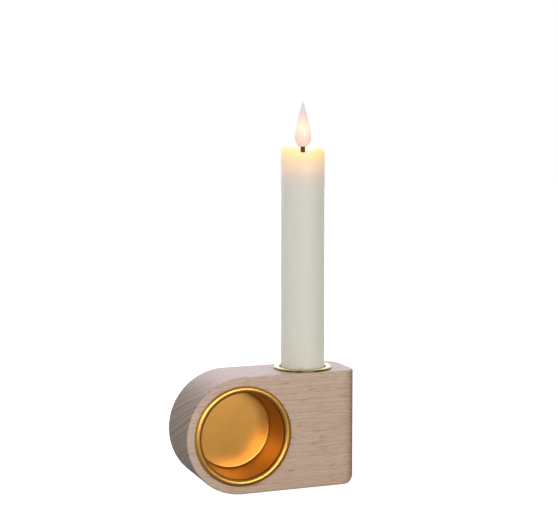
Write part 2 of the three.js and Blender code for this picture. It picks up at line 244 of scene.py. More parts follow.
def soft_box(low, high, edge, steps=3):
    """A box whose edges and corners are rounded."""
    shape = bmesh.new()
    bmesh.ops.create_cube(shape, size=1)
    middle = (Vector(low) + Vector(high)) / 2
    size = Vector(high) - Vector(low)
    for vert in shape.verts:
        vert.co = middle + vert.co * size
    bmesh.ops.bevel(shape, geom=shape.edges[:], offset=edge, segments=steps, profile=0.5, affect="EDGES")
    return outwards(shape)


def oblong(inner, outer, low, high, edge):
    """The section of a ring, or of a disc if it has no hole, with its edges rounded."""
    corners = [(inner, low), (outer, low), (outer, high), (inner, high)]
    return rounded(corners, edge, closed=inner > 0)


def washer(inner, outer, low, high, edge, sides=SMALL * 2):
    return turned(oblong(inner, outer, low, high, edge), sides, closed=inner > 0)


def sector(inner, outer, start, end, bottom, top, edge=0.0):
    """A piece of a ring between two angles in degrees."""
    section = oblong(inner, outer, bottom, top, edge)
    steps = max(4, round((end - start) / 4))
    return turned(section, steps, closed=True, start=start, sweep=end - start)


def opposite(turn, half_angle, inner, outer, bottom, top, edge):
    """Two pieces of a ring across from each other, the first about an angle in degrees."""
    spans = [(middle - half_angle, middle + half_angle) for middle in (turn, turn + 180)]
    return [sector(inner, outer, *span, bottom, top, edge) for span in spans]


def swept(path, radius, sides=16):
    """A round wire along a path, with domed ends."""
    points = [Vector(p) for p in path]
    along = [(b - a).normalized() for a, b in zip(points, points[1:])]
    along.append(along[-1])
    side = along[0].orthogonal().normalized()
    rows = []
    for point, forward in zip(points, along):
        side = (side - forward * side.dot(forward)).normalized()
        other = forward.cross(side)
        turn = [2 * pi * i / sides for i in range(sides)]
        rows.append([point + (side * cos(a) + other * sin(a)) * radius for a in turn])
    return lofted(rows)


def bent_strip(path, thickness, low_x, high_x, bend):
    """Sheet metal that follows a path of (y, z) points, as wide as from low_x to high_x."""
    centre = [Vector(p) for p in rounded(path, bend, 6, closed=False)]
    near, far = [], []
    for i, point in enumerate(centre):
        along = centre[min(i + 1, len(centre) - 1)] - centre[max(i - 1, 0)]
        across = Vector((-along.y, along.x)).normalized() * thickness / 2
        near.append(point + across)
        far.append(point - across)
    outline = near + far[::-1]
    return lofted([[(x, y, z) for y, z in outline] for x in (low_x, high_x)])


def moved(shape, x=0.0, y=0.0, z=0.0):
    bmesh.ops.translate(shape, verts=shape.verts, vec=(x, y, z))
    return shape


def facing_front(shape):
    """Turns a shape made on the Z axis so that its top looks towards -Y."""
    bmesh.ops.rotate(shape, verts=shape.verts, cent=(0, 0, 0), matrix=Matrix.Rotation(pi / 2, 3, "X"))
    return shape


def on_candle(shape, z=0.0):
    """Moves a shape made on the Z axis to the candle's axis, and up."""
    return moved(shape, x=socket_place.middle.x, z=z)


def link(name, mesh):
    made = bpy.data.objects.new(name, mesh)
    scene.collection.objects.link(made)
    return made


def to_object(name, shape):
    mesh = bpy.data.meshes.new(name)
    shape.to_mesh(mesh)
    shape.free()
    return link(name, mesh)


def combined(operation, base, tools):
    """The base with the tools cut away or joined on."""
    target = to_object("target", base)
    helpers = [to_object("tool", tool) for tool in tools]
    for helper in helpers:
        modifier = target.modifiers.new("boolean", "BOOLEAN")
        modifier.operation = operation
        modifier.solver = "EXACT"
        modifier.object = helper
    evaluated = target.evaluated_get(bpy.context.evaluated_depsgraph_get())
    result = bmesh.new()
    result.from_mesh(evaluated.to_mesh())
    evaluated.to_mesh_clear()
    for spent in (target, *helpers):
        bpy.data.objects.remove(spent)
    return result


def cut(base, *tools):
    return combined("DIFFERENCE", base, tools)


def joined(base, *others):
    return combined("UNION", base, others)


def gathered(*shapes):
    """Separate shells as one shape."""
    whole = bmesh.new()
    for shape in shapes:
        mesh = bpy.data.meshes.new("shell")
        shape.to_mesh(mesh)
        shape.free()
        whole.from_mesh(mesh)
        bpy.data.meshes.remove(mesh)
    return whole


# ---- Pieces ----

body_of = {n: body for body, nodes in frame["record"]["behaviour"]["bodies"].items() for n in nodes}
slot_of = {row["node"]: row["material_slot"] for row in frame["record"]["subparts"]}


def piece(name, shape, node, own_slot=None):
    """Adds a piece that stands for a CAD node and has its slot, or an extra one with its own slot."""
    bmesh.ops.scale(shape, verts=shape.verts, vec=(MM, MM, MM))
    made = to_object(name, shape)
    made.data.shade_smooth()
    made.data.set_sharp_from_angle(angle=radians(SHARP))
    made.modifiers.new("normals", "WEIGHTED_NORMAL").keep_sharp = True
    slot = own_slot or slot_of[node]
    made.data.materials.append(finishes[slot])
    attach(made, body_of[node])
    if not own_slot:
        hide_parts(node)


# ---- Material helpers ----


def add_node(tree, kind, **settings):
    node = tree.nodes.new("ShaderNode" + kind)
    for key, value in settings.items():
        setattr(node, key, value)
    return node


class Finish:
    """A material's node tree, with a Principled shader to wire things to."""

    def __init__(self, name, tilt=(0, 0, 0), **shader):
        self.material = bpy.data.materials.new(name)
        self.material.use_nodes = True
        self.tree = self.material.node_tree
        self.shader = self.tree.nodes["Principled BSDF"]
        self.coordinates = add_node(self.tree, "TexCoord")
        self.place = self.millimetres(tilt)
        self.wear(**shader)

    def feed(self, socket, value):
        """Links a socket to another, or sets its value."""
        if isinstance(value, bpy.types.NodeSocket):
            self.tree.links.new(value, socket)
        else:
            socket.default_value = (*value, 1) if socket.type == "RGBA" and len(value) == 3 else value

    def add(self, kind, inputs, **settings):
        node = add_node(self.tree, kind, **settings)
        for name, value in inputs.items():
            self.feed(node.inputs[name], value)
        return node

    def wear(self, **shader):
        """Feeds the shader's sockets."""
        for name, value in shader.items():
            self.feed(self.shader.inputs[name.replace("_", " ")], value)

    def millimetres(self, tilt):
        """The place on the piece at rest, in millimetres."""
        turn = [radians(angle) for angle in tilt]
        inputs = {"Vector": self.coordinates.outputs["Object"], "Rotation": turn, "Scale": [1 / MM] * 3}
        return self.add("Mapping", inputs).outputs["Vector"]

    def noise(self, size, detail=2.0, roughness=0.5, distortion=0.0, place=None):
        """Noise from 0 to 1 whose features have a size in millimetres along X, Y and Z."""
        inputs = {"Vector": place or self.place, "Scale": [1 / s for s in size]}
        stretched = self.add("Mapping", inputs).outputs["Vector"]
        inputs = {"Vector": stretched, "Scale": 1, "Detail": detail, "Roughness": roughness}
        return self.add("TexNoise", {**inputs, "Distortion": distortion}).outputs["Fac"]

    def split(self, place, axis):
        return self.add("SeparateXYZ", {"Vector": place}).outputs[axis]

    def math(self, operation, first, second=0.0):
        node = self.add("Math", {}, operation=operation)
        self.feed(node.inputs[0], first)
        self.feed(node.inputs[1], second)
        return node.outputs[0]

    def span(self, value, low, high, to_low=0.0, to_high=1.0, smooth=True):
        """Brings a value's range to another range, and holds it at the ends."""
        inputs = {"Value": value, "From Min": low, "From Max": high, "To Min": to_low, "To Max": to_high}
        kind = "SMOOTHSTEP" if smooth else "LINEAR"
        return self.add("MapRange", inputs, interpolation_type=kind).outputs["Result"]

    def mix(self, share, first, second, blend="MIX"):
        node = self.add("Mix", {}, data_type="RGBA", blend_type=blend)
        sockets = {s.identifier: s for s in node.inputs}
        for identifier, value in (("Factor_Float", share), ("A_Color", first), ("B_Color", second)):
            self.feed(sockets[identifier], value)
        return next(s for s in node.outputs if s.identifier == "Result_Color")

    def ramp(self, value, *stops):
        """A colour ramp through (place, colour) stops."""
        node = self.add("ValToRGB", {"Fac": value})
        elements = node.color_ramp.elements
        while len(elements) < len(stops):
            elements.new(0.5)
        for element, (place, colour) in zip(elements, stops):
            element.position = place
            element.color = (*colour, 1)
        return node.outputs["Color"]

    def bump(self, height, depth, strength=1.0, under=None):
        """Relief of a depth in millimetres, over another relief if there is one."""
        inputs = {"Height": height, "Distance": depth * MM, "Strength": strength}
        if under is not None:
            inputs["Normal"] = under
        return self.add("Bump", inputs).outputs["Normal"]


def beech():
    """Sanded beech. Growth layers run along X and lean, so the curved end shows them as slanted lines."""
    f = Finish("beech", tilt=(25, 0, 0), Specular_IOR_Level=0.5, IOR=1.5)
    sway = f.noise((26, 14, 14), 2)
    layer = f.math("ADD", f.split(f.place, "Z"), f.math("MULTIPLY", sway, 2.2))
    layer_place = f.add("CombineXYZ", {"Z": layer}).outputs["Vector"]
    rings = f.noise((1, 1, 1.15), 3, 0.6, place=layer_place)
    tone = f.noise((45, 16, 11), 2)
    blush = f.noise((14, 5, 2.6), 1)
    flecks = f.noise((6.0, 1.2, 0.27), 1.5, 0.45, 0.35)
    pores = f.noise((2.2, 0.22, 0.16), 2, 0.6)

    end_grain = f.math("ABSOLUTE", f.split(f.coordinates.outputs["Normal"], "X"))
    end_grain = f.span(end_grain, 0.25, 0.95)
    pale = f.mix(tone, (0.640, 0.445, 0.315), (0.740, 0.530, 0.385))
    pale = f.mix(f.span(blush, 0.58, 0.80), pale, (0.690, 0.405, 0.300))
    layered = f.mix(f.span(rings, 0.35, 0.65, 0.0, 0.46), pale, (0.430, 0.295, 0.212))
    open_end = f.mix(f.span(rings, 0.38, 0.62), (0.400, 0.288, 0.192), (0.184, 0.126, 0.083))
    grained = f.mix(end_grain, layered, open_end)
    dashes = f.span(flecks, 0.57, 0.70, 0.0, 0.72)
    dashed = f.mix(dashes, grained, (0.310, 0.185, 0.130))
    colour = f.mix(f.span(pores, 0.55, 0.75, 0.0, 0.25), dashed, (0.300, 0.190, 0.135))
    sanded = f.span(pores, 0.3, 0.7, 0.38, 0.50)
    f.wear(Base_Color=colour, Roughness=f.math("ADD", sanded, f.math("MULTIPLY", end_grain, 0.2)))
    fibre = f.bump(pores, 0.02)
    f.wear(Normal=f.bump(flecks, 0.05, 0.8, under=fibre))
    return f.material


# Millimetres from a crease: the metal carries painted shade fully up to the first, and none from the
# second.
CREASE_REACH = (0.3, 1.25)
# How dark the painted shade in the crease where a rim meets the wood is
CREASE_SHADE = 0.22  # as a share of the metal's own colour


def metal(name, colour, worn, roughness, spread, crease=None):
    """A metal with cloudy polish marks, and painted shade in a crease at a place along an axis if it has
    one.
    """
    f = Finish(name, Metallic=1.0)
    cloud = f.noise((9, 9, 9), 3)
    rubbed = f.noise((2.5, 2.5, 2.5), 2)
    shade = f.mix(f.span(cloud, 0.35, 0.75), colour, worn)
    if crease is not None:
        axis, level = crease
        away = f.math("ABSOLUTE", f.math("SUBTRACT", f.split(f.place, axis), level))
        # Painted shade: the metal is darker near the crease where its rim meets the wood
        crease_shaded = [CREASE_SHADE * value for value in colour]
        shade = f.mix(f.span(away, *CREASE_REACH), crease_shaded, shade)
    f.wear(Base_Color=shade)
    f.wear(Roughness=f.span(rubbed, 0.3, 0.7, roughness - spread, roughness + spread))
    f.wear(Normal=f.bump(rubbed, 0.004, 0.5))
    return f.material


# Where the painted lamp light on the wax begins and where it is full
GLOW_STARTS, GLOW_FULL = 24, 1  # millimetres below the top of the wax


def wax():
    """Ivory wax, with painted light: a faint glow all over, and a warm glow and warmer colour over the
    last stretch below the lamp.
    """
    f = Finish("ivory_wax", IOR=1.44, Specular_IOR_Level=0.45, Subsurface_Weight=0.9)
    f.wear(Sheen_Weight=0.3, Sheen_Roughness=0.6, Sheen_Tint=(1.0, 0.97, 0.90))
    f.wear(Subsurface_Radius=(1.0, 0.9, 0.75), Subsurface_Scale=0.012)
    height = f.split(f.place, "Z")
    cloud = f.noise((7, 7, 12), 3)
    ripple = f.noise((3.5, 3.5, 9), 2)
    pits = f.noise((0.8, 0.8, 0.8), 2)
    top = wax_place.high.z
    near = f.span(height, top - GLOW_STARTS, top - GLOW_FULL, smooth=False)
    ivory = f.mix(cloud, (0.83, 0.775, 0.625), (0.88, 0.825, 0.67))
    # Painted warm lamp light in the wax's colour, stronger towards the top
    lamp_light_tint = f.ramp(
        near,
        (0.0, (1.0, 1.0, 1.0)),
        (0.35, (1.0, 0.96, 0.93)),
        (0.62, (1.0, 0.90, 0.80)),
        (0.82, (1.0, 0.92, 0.68)),
        (1.0, (1.0, 0.95, 0.60)),
    )
    # Painted light: emission that is faint all over the wax and warm near the lamp, though the wax is no
    # lamp
    glow = f.ramp(
        near,
        (0.0, (0.085, 0.072, 0.045)),
        (0.35, (0.140, 0.093, 0.058)),
        (0.62, (0.30, 0.15, 0.085)),
        (0.82, (0.35, 0.19, 0.060)),
        (1.0, (0.37, 0.26, 0.060)),
    )
    f.wear(Base_Color=f.mix(1.0, ivory, lamp_light_tint, "MULTIPLY"))
    f.wear(Emission_Color=glow, Emission_Strength=1.0)
    f.wear(Roughness=f.span(pits, 0.3, 0.7, 0.42, 0.58))
    swell = f.bump(ripple, 0.12, 0.7)
    f.wear(Normal=f.bump(pits, 0.02, 0.6, under=swell))
    return f.material


def flame_plastic():
    """Milky plastic lit from inside: brightest at a third of its height, pink at the foot and tip."""
    f = Finish("flame_plastic", IOR=1.45, Roughness=0.35)
    flame = Place("flame_diffuser")
    up = f.span(f.split(f.place, "Z"), flame.low.z, flame.high.z, smooth=False)
    mottle = f.noise((3, 3, 4), 2)
    milk = f.ramp(
        up,
        (0.0, (0.70, 0.52, 0.50)),
        (0.2, (0.80, 0.60, 0.52)),
        (0.42, (0.85, 0.76, 0.58)),
        (0.7, (0.76, 0.57, 0.55)),
        (1.0, (0.62, 0.56, 0.66)),
    )
    glow = f.ramp(
        up,
        (0.0, (0.17, 0.10, 0.10)),
        (0.2, (0.35, 0.23, 0.205)),
        (0.42, (0.50, 0.39, 0.21)),
        (0.7, (0.36, 0.215, 0.215)),
        (0.85, (0.27, 0.225, 0.235)),
        (1.0, (0.17, 0.18, 0.22)),
    )
    f.wear(Base_Color=f.mix(f.span(mottle, 0.3, 0.7, 0.0, 0.12), milk, (0.9, 0.8, 0.7)))
    f.wear(Emission_Color=glow, Emission_Strength=1.0)
    f.wear(Normal=f.bump(mottle, 0.03, 0.5))
    return f.material


def wick_plastic():
    """Dark brown sleeve with the lay of a braided wick."""
    f = Finish("wick_plastic")
    strands = f.noise((0.5, 0.5, 0.25), 2)
    char = f.noise((1.2, 1.2, 1.0), 3)
    brown = f.mix(f.span(strands, 0.35, 0.65), (0.045, 0.018, 0.012), (0.125, 0.055, 0.036))
    f.wear(Base_Color=f.mix(f.span(char, 0.5, 0.7, 0.0, 0.6), brown, (0.02, 0.012, 0.01)))
    f.wear(Roughness=f.span(strands, 0.3, 0.7, 0.65, 0.9))
    f.wear(Normal=f.bump(strands, 0.06))
    return f.material


def moulded(name, colour, shade, roughness):
    """Moulded plastic: a fine spark-eroded texture, and slow changes of tone from the moulding."""
    f = Finish(name, IOR=1.46)
    flow = f.noise((6, 6, 14), 2)
    texture = f.noise((0.18, 0.18, 0.18), 2)
    f.wear(Base_Color=f.mix(f.span(flow, 0.3, 0.7), colour, shade))
    f.wear(Roughness=f.span(texture, 0.3, 0.7, roughness - 0.07, roughness + 0.07))
    f.wear(Normal=f.bump(texture, 0.012, 0.7))
    return f.material


def lamp_resin():
    """Warm resin over the lamp's chip, brighter in the dome than at the collar."""
    f = Finish("lamp_resin", Roughness=0.12, IOR=1.52, Coat_Weight=0.5)
    lamp = Place("flame_led")
    up = f.span(f.split(f.place, "Z"), lamp.low.z, lamp.high.z)
    swirl = f.noise((0.8, 0.8, 0.8), 2)
    resin = f.mix(swirl, (0.95, 0.80, 0.50), (1.0, 0.90, 0.68))
    f.wear(Base_Color=resin)
    f.wear(Emission_Color=f.mix(up, (0.35, 0.22, 0.08), (1.0, 0.80, 0.45)), Emission_Strength=1.5)
    return f.material


def circuit_board():
    """Green solder mask with the copper tracks showing through as a lighter green."""
    f = Finish("circuit_board", IOR=1.5, Coat_Weight=0.4, Coat_Roughness=0.2)
    turned_up = f.millimetres((90, 0, 0))
    bricks = {"Vector": turned_up, "Scale": 1.0, "Brick Width": 2.7, "Row Height": 1.1}
    mortar = {"Mortar Size": 0.09, "Mortar Smooth": 0.2}
    tracks = f.add("TexBrick", {**bricks, **mortar}, offset=0.35).outputs["Fac"]
    cloud = f.noise((2, 2, 2), 3)
    mask = f.mix(cloud, (0.012, 0.105, 0.060), (0.020, 0.150, 0.085))
    f.wear(Base_Color=f.mix(f.span(tracks, 0.2, 0.8, 0.0, 0.6), mask, (0.07, 0.30, 0.16)))
    f.wear(Roughness=f.span(cloud, 0.3, 0.7, 0.32, 0.45))
    f.wear(Normal=f.bump(tracks, 0.03, 0.7))
    return f.material


def cell_wrap():
    """Printed film round a battery cell: slate blue, with a copper band at the button's end."""
    f = Finish("cell_wrap", IOR=1.5, Coat_Weight=0.6, Coat_Roughness=0.12, Metallic=0.35)
    along = f.split(f.coordinates.outputs["Generated"], "Z")
    film = f.noise((3, 3, 10), 3)
    slate = f.mix(film, (0.085, 0.115, 0.150), (0.125, 0.160, 0.200))
    band = f.span(along, 0.795, 0.80, smooth=False)
    f.wear(Base_Color=f.mix(band, slate, (0.52, 0.25, 0.12)))
    f.wear(Roughness=f.span(film, 0.3, 0.7, 0.26, 0.40))
    f.wear(Normal=f.bump(film, 0.02, 0.5))
    return f.material


# The gold and brass carry painted shade in the crease at the wood face where their rims rest
finishes = dict(
    beech=beech(),
    gold_aluminium=metal(
        "gold_anodised", (0.73, 0.365, 0.080), (0.69, 0.340, 0.073), 0.35, 0.02, ("Y", wood_front + GAP)
    ),
    brass=metal(
        "polished_brass", (0.82, 0.64, 0.29), (0.76, 0.58, 0.25), 0.16, 0.03, ("Z", wood_top + GAP / 2)
    ),
    wax=wax(),
    flame_plastic=flame_plastic(),
    wick_plastic=wick_plastic(),
    white_plastic=moulded("white_plastic", (0.80, 0.79, 0.75), (0.76, 0.745, 0.70), 0.45),
    black_plastic=moulded("black_plastic", (0.018, 0.018, 0.020), (0.030, 0.030, 0.032), 0.48),
    lamp=lamp_resin(),
    circuit_board=circuit_board(),
    steel=metal("nickel_steel", (0.66, 0.66, 0.67), (0.58, 0.57, 0.56), 0.24, 0.06),
    cell_wrap=cell_wrap(),
)

# ---- The holder ----


def cup_bore(cup):
    """The hole in the wood for a cup, on the Z axis with the wood face at height 0."""
    radius = cup["mouth"] + cup["wall"] + GAP
    bottom = -cup["depth"] - cup["wall"] - GAP
    return turned([(0, bottom), (radius, bottom), (radius, FACE_ROUND), (0, FACE_ROUND)])


def drawn_in(height, edge):
    """How far a rounded edge has drawn in, at a height above or below its end."""
    return edge - sqrt(edge**2 - (edge - height) ** 2) if height < edge else 0


def block_plan(z, corner_steps=16, left_steps=10):
    """The block's outline from above at one height. It goes round the square end first."""
    curve = block_place.size.z / 2
    axis = block_place.low.x + curve
    side = block_place.size.y / 2
    above = abs(z - curve)
    face = drawn_in(curve - above, FACE_ROUND)
    end = drawn_in(curve - above, LOW_ROUND if z < curve else TOP_ROUND)
    corner_x, corner_y = block_place.high.x - UPRIGHT_ROUND, side - UPRIGHT_ROUND
    half = []
    for step in range(corner_steps + 1):
        turn = radians(90 * step / corner_steps)
        reach = UPRIGHT_ROUND - end * cos(turn) ** 2 - face * sin(turn) ** 2
        half.append((corner_x + reach * cos(turn), corner_y + reach * sin(turn)))
    inner = curve - FACE_ROUND
    start = math.asin(max(0, (above - inner) / FACE_ROUND))
    for step in range(left_steps + 1):
        turn = lerp(start, pi / 2, step / left_steps)
        reach = sqrt(max(0, (inner + FACE_ROUND * sin(turn)) ** 2 - above**2))
        half.append((axis - reach, side - FACE_ROUND * (1 - cos(turn))))
    return half + [(x, -y) for x, y in reversed(half)]


def beech_block():
    """A thick D, built up from plans of it at many heights, which crowd near its top and bottom."""
    curve = block_place.size.z / 2
    levels = 120
    rows = []
    for level in range(levels + 1):
        z = curve * (1 - cos(pi * level / levels))
        rows.append([(x, y, z) for x, y in block_plan(z)])
    slab = lofted(rows)
    bmesh.ops.remove_doubles(slab, verts=slab.verts, dist=GAP * MM)
    front_bore = moved(facing_front(cup_bore(TEALIGHT_CUP)), cup_place.middle.x, wood_front, curve)
    top_bore = on_candle(cup_bore(CANDLE_SOCKET), wood_top)
    piece("beech_block", cut(slab, front_bore, top_bore), "wood_block")


def rimmed_cup(mouth, floor, depth, wall, rim, rim_height, corner):
    """A thin cup on the Z axis, whose rolled rim rests on the wood face at height 0."""
    bead_middle = (mouth + rim) / 2
    bead_half = (rim - mouth) / 2
    section = [
        (0, -depth),
        *arc(floor - corner, -depth + corner, corner, -90, 0, 8),
        *arc(bead_middle, GAP, bead_half, 180, 0, 32, rim_height - GAP),
        (mouth + wall, GAP),
        (mouth + wall, 0),
        *arc(floor + wall - corner, -depth - wall + corner, corner, 0, -90, 6),
        (0, -depth - wall),
    ]
    return turned(section)


def gold_cup():
    shape = facing_front(rimmed_cup(**TEALIGHT_CUP))
    piece("gold_cup", moved(shape, cup_place.middle.x, wood_front, cup_place.middle.z), "tealight_cup")


def brass_socket():
    piece("brass_socket", on_candle(rimmed_cup(**CANDLE_SOCKET), wood_top), "candle_socket")


# ---- The candle ----


def rim_dip(heading):
    """How far the melted rim lies below its highest level, at a heading in degrees."""
    total = 0
    for dip in RIM_DIPS:
        away = (heading - dip["heading"] + 180) % 360 - 180
        total += dip["depth"] * exp(-((away / dip["spread"]) ** 4))
    return total


def melted(shape, bottom, level):
    """Lowers the rim by its dips, and gives the sleeve the slight unevenness of dipped wax."""
    for vert in shape.verts:
        x, y, z = vert.co
        radius = math.hypot(x, y)
        if radius > WAX["bore"] + GAP and z > bottom + WAX["foot"]:
            across, along = SIDE_SWELL["across"], SIDE_SWELL["along"]
            swell = SIDE_SWELL["depth"] * noise.noise(Vector((x / across, y / across, z / along)))
            vert.co.x += x / radius * swell
            vert.co.y += y / radius * swell
        rise = max(0, (z - level) / WAX["dish_depth"])
        drop = rim_dip(math.degrees(math.atan2(y, x)))
        size = RIM_GRAIN["size"]
        grain = RIM_GRAIN["depth"] * noise.noise(Vector((x / size, y / size, 0)))
        vert.co.z -= rise * radius / WAX["top"] * (drop + grain)
    return shape


def wax_sleeve():
    bottom = wax_place.low.z
    top = bottom + WAX["height"]
    level = top - WAX["dish_depth"]
    hole = WICK["radius"] + GAP
    lip, foot, outside, bore = WAX["lip"], WAX["foot"], WAX["top"], WAX["bore"]
    rows = 60
    wall = [
        (lerp(WAX["base"], outside, i / rows), lerp(bottom + foot, top - lip, i / rows))
        for i in range(rows + 1)
    ]
    plug = Place("housing_top").high.z + GAP
    pool, peak = POOL["radius"], level + POOL["mound"]
    section = [
        (bore, bottom),
        (WAX["base"] - foot, bottom),
        *wall,
        *arc(outside - lip, top - lip, lip, 0, 110, 8)[1:],
        *bezier((outside - 1.7 * lip, top - 0.6 * lip), (outside - 3, top - 2), (8, level), (pool, level)),
        *bezier((0.8 * pool, level), (3, level), (2.6, level + 0.9), (hole, peak), 6),
        (hole, plug),
        (bore, plug),
    ]
    piece("wax_sleeve", on_candle(melted(turned(section, closed=True), bottom, level)), "wax_shell")


def flame_shell():
    place = Place("flame_diffuser")
    height, radius, widest, base = (FLAME[k] for k in ("height", "radius", "widest_at", "base"))
    hole = WICK["radius"] + GAP
    pocket = [
        (0, LAMP_POCKET["height"]),
        *arc(0, LAMP_POCKET["straight"], LAMP_POCKET["radius"], 80, 0, 6, 1.6),
        (LAMP_POCKET["radius"], FLAME["floor"]),
        (hole, FLAME["floor"]),
        (hole, 0),
    ]
    belly = bezier((base, 0), (1.25 * base, 0.18 * widest), (radius, 0.55 * widest), (radius, widest), 14)
    taper = bezier(
        (radius, widest), (radius, 0.45 * height), (0.37 * radius, 0.76 * height), (0, height), 36
    )
    shape = turned([*pocket, *belly, *taper[1:]], 96)
    piece("flame_shell", on_candle(shape, place.low.z), "flame_diffuser")


def lamp():
    collar, ledge = LAMP["collar"], LAMP["collar_height"]
    section = [
        *rounded([(0, 0), (collar, 0), (collar, ledge)], 0.1, closed=False),
        (LAMP["radius"], ledge),
        *arc(0, LAMP["dome_at"], LAMP["radius"], 0, 90, 12),
    ]
    piece("lamp_dome", on_candle(turned(section, SMALL), Place("flame_led").low.z), "flame_led")


def wick():
    """A sleeve with grooves that wind round it between its strands."""
    place = Place("wick_sleeve")
    rows = 40
    outside = [(WICK["radius"], lerp(place.low.z, place.high.z, i / rows)) for i in range(rows + 1)]
    section = [(WICK["bore"], place.low.z), *outside, (WICK["bore"], place.high.z)]
    shape = turned(section, SMALL, closed=True)
    for vert in shape.verts:
        x, y, z = vert.co
        if math.hypot(x, y) > (WICK["bore"] + WICK["radius"]) / 2:
            wave = cos(WICK_STRAND["count"] * math.atan2(y, x) + WICK_STRAND["lay"] * z)
            groove = 0.5 + 0.5 * wave
            vert.co.x *= 1 - WICK_STRAND["groove"] * groove
            vert.co.y *= 1 - WICK_STRAND["groove"] * groove
    piece("wick_braid", on_candle(shape), "wick_sleeve")


def lamp_wires():
    for node in ("lead_anode", "lead_cathode"):
        place = Place(node)
        path = [(place.middle.x, 0, lerp(place.low.z, place.high.z, i / 12)) for i in range(13)]
        piece(node + "_wire", swept(path, place.size.x / 2, 20), node)


def battery_tube():
    """Each bayonet slot starts at the bottom edge and turns sideways."""
    place = Place("housing_tube")
    inner = TUBE["inner"]
    lug_low = Place("battery_cap").low.z + CAP["flange"] + LUG["up"]
    lug_high = lug_low + LUG["height"]
    half = LUG["slot_half_angle"]
    tools = []
    for turn in (0, 180):
        end = turn + LUG["twist"] + half
        reach = LUG["radius"] + GAP
        tools.append(sector(inner - GAP, reach, turn - half, end, lug_low - GAP, lug_high + GAP))
        tools.append(sector(inner - GAP, reach, end - 2 * half, end, place.low.z - 1, lug_high))
    tube = washer(inner, TUBE["outer"], place.low.z, place.high.z, 0.25, ROUND)
    piece("battery_tube", on_candle(cut(tube, *tools)), "housing_tube")


def tube_top():
    place = Place("housing_top")
    base = place.low.z + TUBE_TOP["spigot"]
    hole = WICK["radius"] + GAP
    fit = TUBE["inner"] - GAP
    skin, height, ceiling, crown = (TUBE_TOP[k] for k in ("skin", "height", "ceiling", "crown"))
    outer = TUBE["outer"]
    corners = [
        (hole, ceiling),
        (fit - skin, ceiling),
        (fit - skin, -TUBE_TOP["spigot"]),
        (fit, -TUBE_TOP["spigot"]),
        (fit, 0),
        (outer, 0),
        (outer, TUBE_TOP["shoulder"]),
        ((outer + crown) / 2, height - skin, 1.5),
        (crown, height),
        (hole, height),
    ]
    shape = turned(rounded(corners, 0.2), closed=True)
    piece("tube_top", on_candle(shape, base), "housing_top")


def cell_cradle():
    place = Place("battery_cradle")
    start, end = CRADLE["open_to"], CRADLE["open_from"] + 360
    shape = sector(CRADLE["inner"], CRADLE["outer"], start, end, place.low.z, place.high.z, 0.2)
    piece("cell_cradle", on_candle(shape), "battery_cradle")


def cell_film():
    """The section of a cell's film, which folds over both edges of the can."""
    radius, top = CELL["radius"], CELL["can"]
    skin = radius - CELL["wrap"]
    corners = [
        (skin, 0.5),
        (skin - 0.45, 0.12),
        (skin - 0.4, 0.0),
        (radius - 0.3, 0.0, 0.1),
        (radius, 0.35, 0.2),
        (radius, top - 0.35, 0.2),
        (radius - 0.3, top, 0.1),
        (skin - 0.6, top),
        (skin - 0.6, top - 0.12),
        (skin, top - 0.5),
    ]
    return rounded(corners, 0.04)


def cell_can():
    """The section of a cell's steel can: a ring pressed in its foot, a shoulder and a button."""
    skin, top, button_top = CELL["radius"] - CELL["wrap"], CELL["can"], CELL["can"] + CELL["button"]
    inner, outer, slope = CAN_RING["inner"], CAN_RING["outer"], CAN_RING["slope"]
    corners = [
        (0, 0.05),
        (inner, 0.05),
        (inner + slope, 0.25),
        (outer - slope, 0.25),
        (outer, 0.05),
        (skin - 0.5, 0.05),
        (skin - 0.05, 0.55, 0.2),
        (skin - 0.05, top - 0.6, 0.2),
        (skin - 0.6, top - 0.14),
        (outer, top - 0.14),
        (outer - slope, top - 0.4),
        (inner - slope, top - 0.4),
        (CELL["button_radius"], top, 0.15),
        (CELL["button_radius"], button_top, 0.25),
        (0, button_top),
    ]
    return rounded(corners, 0.1, closed=False)


def cell(node):
    """A steel can in a printed film."""
    base = Place(node).low.z
    film = turned(cell_film(), SMALL * 2, closed=True)
    can = turned(cell_can(), SMALL * 2)
    piece(node + "_wrap", on_candle(film, base), node)
    piece(node + "_can", on_candle(can, base), node, "steel")


def return_contact():
    """One strip, bent in at the foot and in again at the board."""
    place = Place("contact_strip")
    half = STRIP["thickness"] / 2
    path = [
        (STRIP["foot_front"], place.low.z + half),
        (place.high.y - half, place.low.z + half),
        (place.high.y - half, place.high.z - half),
        (place.low.y, place.high.z - half),
    ]
    shape = bent_strip(path, STRIP["thickness"], place.low.x, place.high.x, STRIP["bend"])
    piece("return_contact", shape, "contact_strip")


def button_contact():
    """A round plate over the upper cell's button, with a tab up the front of the board."""
    place = Place("top_contact")
    thickness = STRIP["thickness"]
    low = place.low.z
    plate = on_candle(washer(0, place.size.y / 2, low, low + thickness, 0.1))
    tab_x = socket_place.middle.x - BUTTON_TAB["left"]
    tab = soft_box(
        (tab_x - BUTTON_TAB["half_width"], -thickness / 2, low + thickness / 2),
        (tab_x + BUTTON_TAB["half_width"], thickness / 2, place.high.z),
        0.1,
    )
    piece("button_contact", joined(plate, tab), "top_contact")


